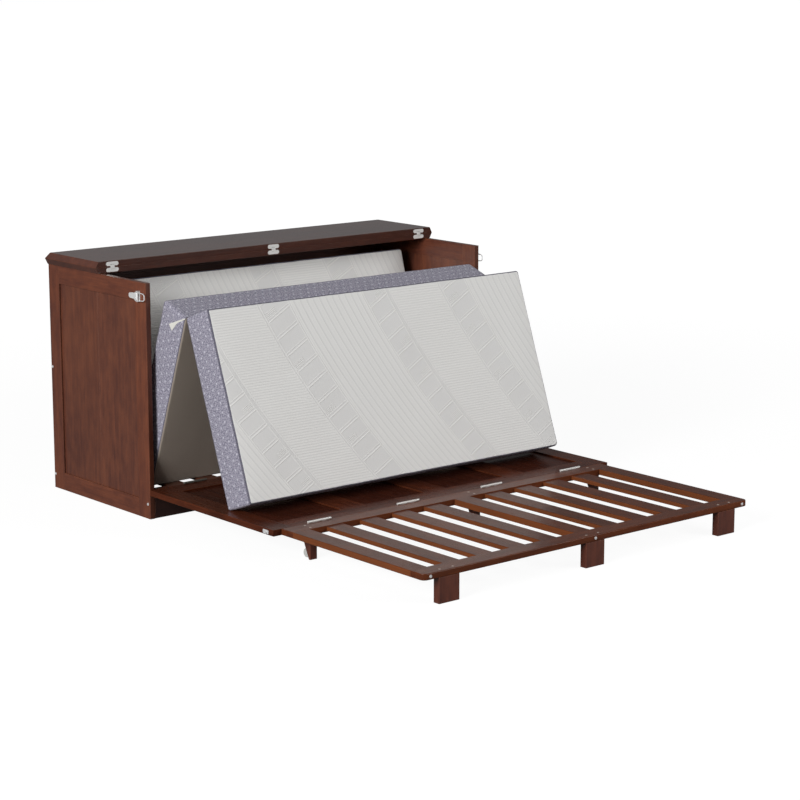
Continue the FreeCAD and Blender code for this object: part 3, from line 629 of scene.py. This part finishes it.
def jacquard(u, v):
    """The raised pattern of the top panel, 0 to 1. Everything follows one curve that sweeps across the
    panel: double lines along it part bundles of long soft ridges, bands of slanting bars, and fields of
    fine cross ribs."""
    down = 0.361 - v
    sweep = u - down * 0.30 - down * down * 0.30
    across = (sweep + 0.799) % pattern_repeat

    def ridge(value, pitch, share):
        """Ridges of a pitch, each as wide as a share of it."""
        return abs((value / pitch) % 1.0 - 0.5).step(0.5 * share, 0.2 * share)

    def line(value, place, width):
        return abs(value - place).step(width, width * 0.3)

    def within(low, high):
        return across.step(low - 0.0008, low + 0.0008) * across.step(high + 0.0008, high - 0.0008)

    slant = v - u * 0.5 + 2.0
    bar = slant % bar_pitch
    bars = line(bar, 0.020, 0.0040).most(line(bar, 0.0315, 0.0030) * 0.7)
    chosen = ((slant / bar_pitch).floor() * 0.371 % 1.0).step(0.52, 0.56)
    hatch = ridge(slant, 0.0068, 0.6) * chosen * bar.step(0.030, 0.032) * bar.step(0.062, 0.060) * 0.8
    first = within(*first_band) * bars.most(hatch * within(first_band[0], 0.325))
    second = within(*second_band) * bars.most(hatch * within(0.800, second_band[1]))
    lines = None
    for place in double_lines:
        thread = line(across, place, 0.0038)
        lines = thread if lines is None else lines.most(thread)
    ribs = ridge(v, 0.0098, 1.0) * within(*ribbed) * 0.6
    soft = ridge(across, 0.0302, 1.0) * 0.42 + line(across % 0.0302, 0.0245, 0.0034) * 0.3
    return lines * 0.6 + ribs + soft * within(*bundled) + first + second


def woven_panel():
    material, cloth = new_finish("panel_cloth", Roughness=0.85, Sheen_Weight=0.25, Sheen_Roughness=0.5)
    u, v, _ = cloth.axes(cloth.node("ShaderNodeUVMap", {"uv_map": "cloth"}))
    relief = jacquard(u, v)
    weave = ((u * 2 * math.pi / 0.0016).sine() * (v * 2 * math.pi / 0.0016).sine()) * 0.5 + 0.5
    place = cloth.vector(u, v, 0.0)
    yarn = cloth.noise(place, scale=420.0, detail=2.0)
    cloud = cloth.noise(place, scale=9.0, detail=2.0)
    colour = cloth.mix(relief.least(1.0), srgb(220, 219, 217), srgb(238, 237, 233))
    colour = cloth.mix(yarn.step(0.35, 0.7) * 0.12, colour, srgb(208, 208, 205))
    colour = cloth.mix(cloud * 0.2, colour, srgb(224, 225, 226))
    cloth.feed("Base Color", colour)
    cloth.bump(relief * 0.85 + weave * 0.08 + yarn * 0.09, 0.0011)
    return material


def flowered_border():
    material, cloth = new_finish("border_cloth", Roughness=0.85, Sheen_Weight=0.1, Sheen_Roughness=0.5)
    u, v, _ = cloth.axes(cloth.node("ShaderNodeUVMap", {"uv_map": "cloth"}))
    place = cloth.vector(u, v, 0.0)

    def flowers(moved, radius):
        """Six-petalled marks on a lattice, moved by a share of its cell: 1 inside a mark, 0 outside."""
        x = ((u / flower_along + moved) % 1.0 - 0.5) * flower_along
        y = ((v / flower_across + moved) % 1.0 - 0.5) * flower_across
        reach = (x * x + y * y).power(0.5)
        petals = (y.maths("ARCTAN2", y, x) * 6.0).sine() * 0.18 + 0.82
        return (reach / petals).step(radius, radius * 0.5)

    def both(radius):
        return flowers(0.0, radius).most(flowers(0.5, radius))

    marks, hearts = both(0.0066), both(0.0014)
    cells = cloth.node("ShaderNodeTexVoronoi", {"voronoi_dimensions": "2D"},
                       {"Vector": place, "Scale": 150.0, "Randomness": 0.8}, output=0)
    yarn = cloth.noise(place, scale=330.0, detail=2.0)
    speckle = (cells + yarn * 0.35 - 0.17).step(0.62, 0.2)
    colour = cloth.mix(speckle, srgb(121, 118, 134), srgb(166, 163, 177))
    colour = cloth.mix(marks * 0.95 - hearts * 0.3, colour, srgb(198, 196, 208))
    # painted shadow: the border turns dark lilac in a band where it rounds into the sewn seams
    seam_height = section_thick / 2 - seam_round
    seam = abs(v).step(seam_height - 0.0005, seam_height + 0.0015)
    colour = cloth.mix(seam * 0.75, colour, srgb(66, 64, 78))
    cloth.feed("Base Color", colour)
    cloth.bump(marks * 0.5 + speckle * 0.4 + yarn * 0.1, 0.0014)
    return material


def taupe_underside():
    material, cloth = new_finish("taupe_cloth", Roughness=0.9, Sheen_Weight=0.15, Sheen_Roughness=0.5)
    u, v, _ = cloth.axes(cloth.node("ShaderNodeUVMap", {"uv_map": "cloth"}))
    place = cloth.vector(u, v, 0.0)
    weave = ((u * 2 * math.pi / 0.0022).sine() + (v * 2 * math.pi / 0.0022).sine()) * 0.25 + 0.5
    yarn = cloth.noise(place, scale=380.0, detail=2.0)
    cloud = cloth.noise(place, scale=7.0, detail=2.0)
    colour = cloth.mix(weave * 0.4, srgb(170, 157, 144), srgb(190, 178, 165))
    colour = cloth.mix(yarn * 0.25 + cloud * 0.15, colour, srgb(132, 120, 110))
    cloth.feed("Base Color", colour)
    cloth.bump(weave * 0.5 + yarn * 0.4, 0.0008)
    return material


deck_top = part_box("deck_slats")[1].z
panel_cloth, border_cloth, taupe_cloth = woven_panel(), flowered_border(), taupe_underside()
joints = {joint["name"]: joint for joint in frame["joints"]}
lower_fold = Vector(joints["mattress_head_turn"]["pos_m"])
upper_fold = Vector(joints["mattress_foot_turn"]["pos_m"])
tent_lean, head_lean = 20.0, 16.5
fold_length = 0.722       # from one fold to the next, which is a little more than a section
tent = math.radians(tent_lean)
length_down = Vector((math.sin(tent), -math.cos(tent))) * fold_length
middle_foot = Vector(upper_fold[1:]) + length_down
foot_foot = Vector(upper_fold[1:]) + Vector((-length_down.x, length_down.y))
head_corners, head_seed = (0.012, 0.012, 0.012, 0.012), 3
middle_corners, middle_seed = (0.028, 0.013, 0.012, 0.014), 5
foot_corners, foot_seed = (0.009, 0.008, 0.009, 0.016), 8
head = mattress_section("mattress_head_section", "mattress_head", lower_fold[1:], -head_lean, 1, -1,
                        head_corners, head_seed)
middle = mattress_section("mattress_middle_section", "mattress_middle", middle_foot, tent_lean, 1, 1,
                          middle_corners, middle_seed)
foot = mattress_section("mattress_foot_section", "mattress_foot", foot_foot, -tent_lean, -1, -1,
                        foot_corners, foot_seed)

cord_material, cord_cloth = new_finish("fold_cord_cloth", Roughness=0.8)
cord_place = cord_cloth.node("ShaderNodeTexCoord", output=3)
cord_yarn = cord_cloth.noise(cord_place, scale=700.0)
cord_cloth.feed("Base Color", cord_cloth.mix(cord_yarn, srgb(120, 114, 138), srgb(150, 144, 166)))
cord_cloth.bump(cord_yarn, 0.0006)


def soft_copy(node, body, material):
    """A piece with the shape of a CAD node that can be pressed together with the mattress it is sewn to."""
    piece = bpy.data.objects.new(node.replace("mattress", "sewn"), frame["nodes"][node].data.copy())
    piece.data.materials.clear()
    piece.data.materials.append(material)
    bpy.context.scene.collection.objects.link(piece)
    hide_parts(node)
    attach(piece, body)
    return piece


pull_material = moulded("zip_pull_tape", srgb(222, 220, 212), 0.6, 4.0)
cord = soft_copy("mattress_fold_cord", "mattress_fold", cord_material)
pull = soft_copy("mattress_zip_pull", "mattress_middle", pull_material)

for piece in (head, middle, foot, cord, pull):
    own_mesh(piece)
